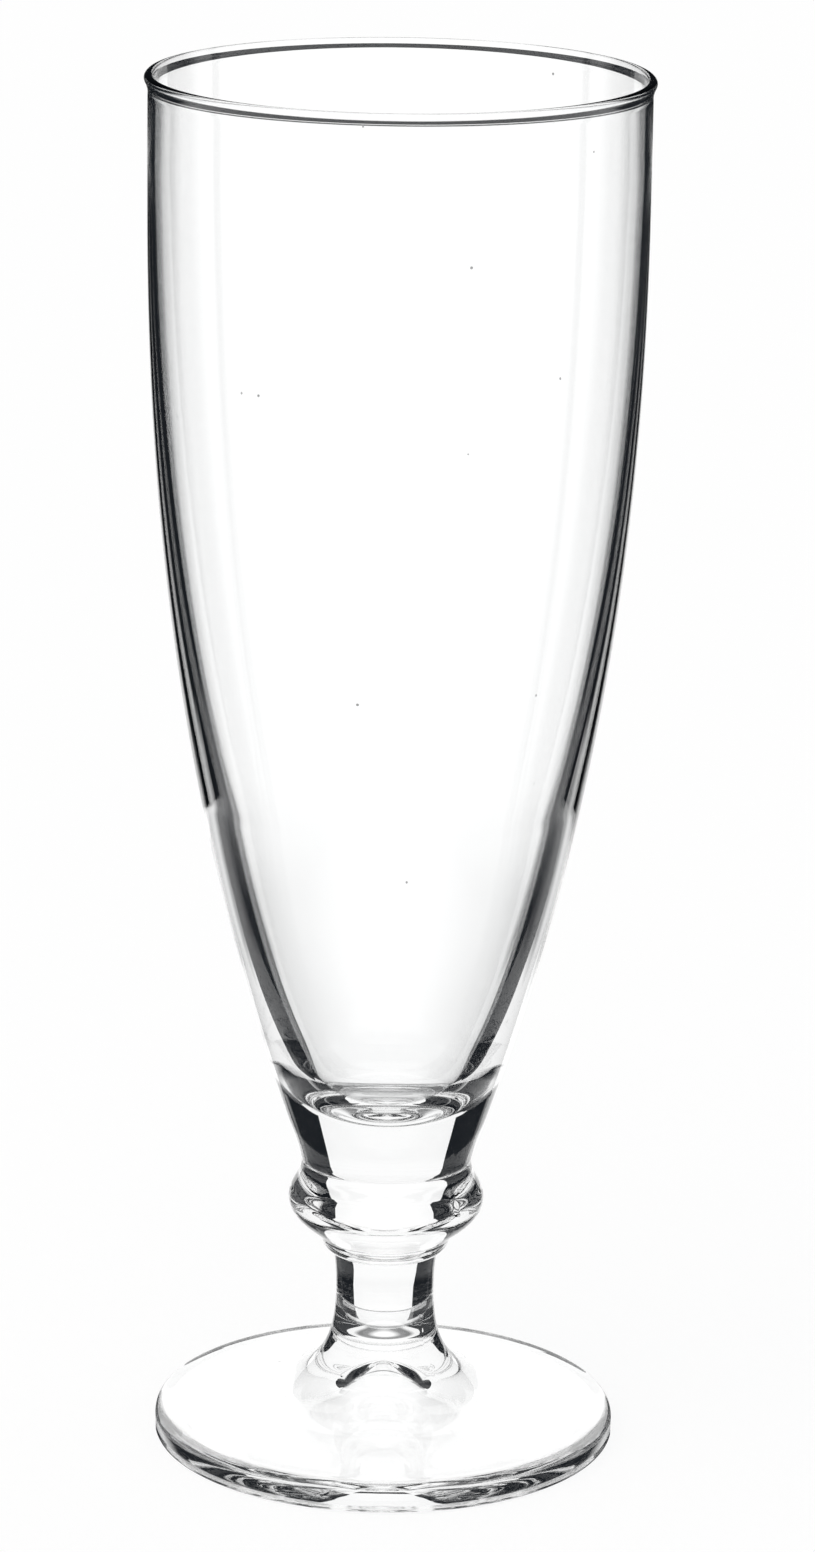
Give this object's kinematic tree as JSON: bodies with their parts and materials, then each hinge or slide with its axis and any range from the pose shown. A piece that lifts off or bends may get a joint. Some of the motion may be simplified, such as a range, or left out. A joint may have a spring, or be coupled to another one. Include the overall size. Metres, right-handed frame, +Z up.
{
  "type": "pilsner glass",
  "caption": "Tall clear drinking glass for beer: a narrow tapering bowl with a beaded rim, on a solid base, a round knop, a short stem and a wide foot.",
  "frame": {"origin": "centre of the foot, on the plane of the table", "axes": "+Z up the glass's axis, from the foot to the mouth; the glass is round, so +X and +Y are free"},
  "size_m": [0.0764, 0.0764, 0.215],
  "materials": {
    "rim": "clear glass, fire-polished to a smooth round bead",
    "bowl": "clear glass, blown, smooth and glossy inside and out",
    "bowl_base": "clear solid glass, glossy, with faint ripples in the floor of the bowl",
    "knop": "clear solid glass, glossy, with faint mould seams",
    "stem": "clear solid glass, glossy, with faint mould seams",
    "foot": "clear pressed glass, glossy, with a smooth rounded edge"
  },
  "bodies": {
    "root": {"rim": "rim", "bowl": "bowl", "bowl_base": "bowl_base", "knop": "knop", "stem": "stem", "foot": "foot"}
  },
  "joints": []
}
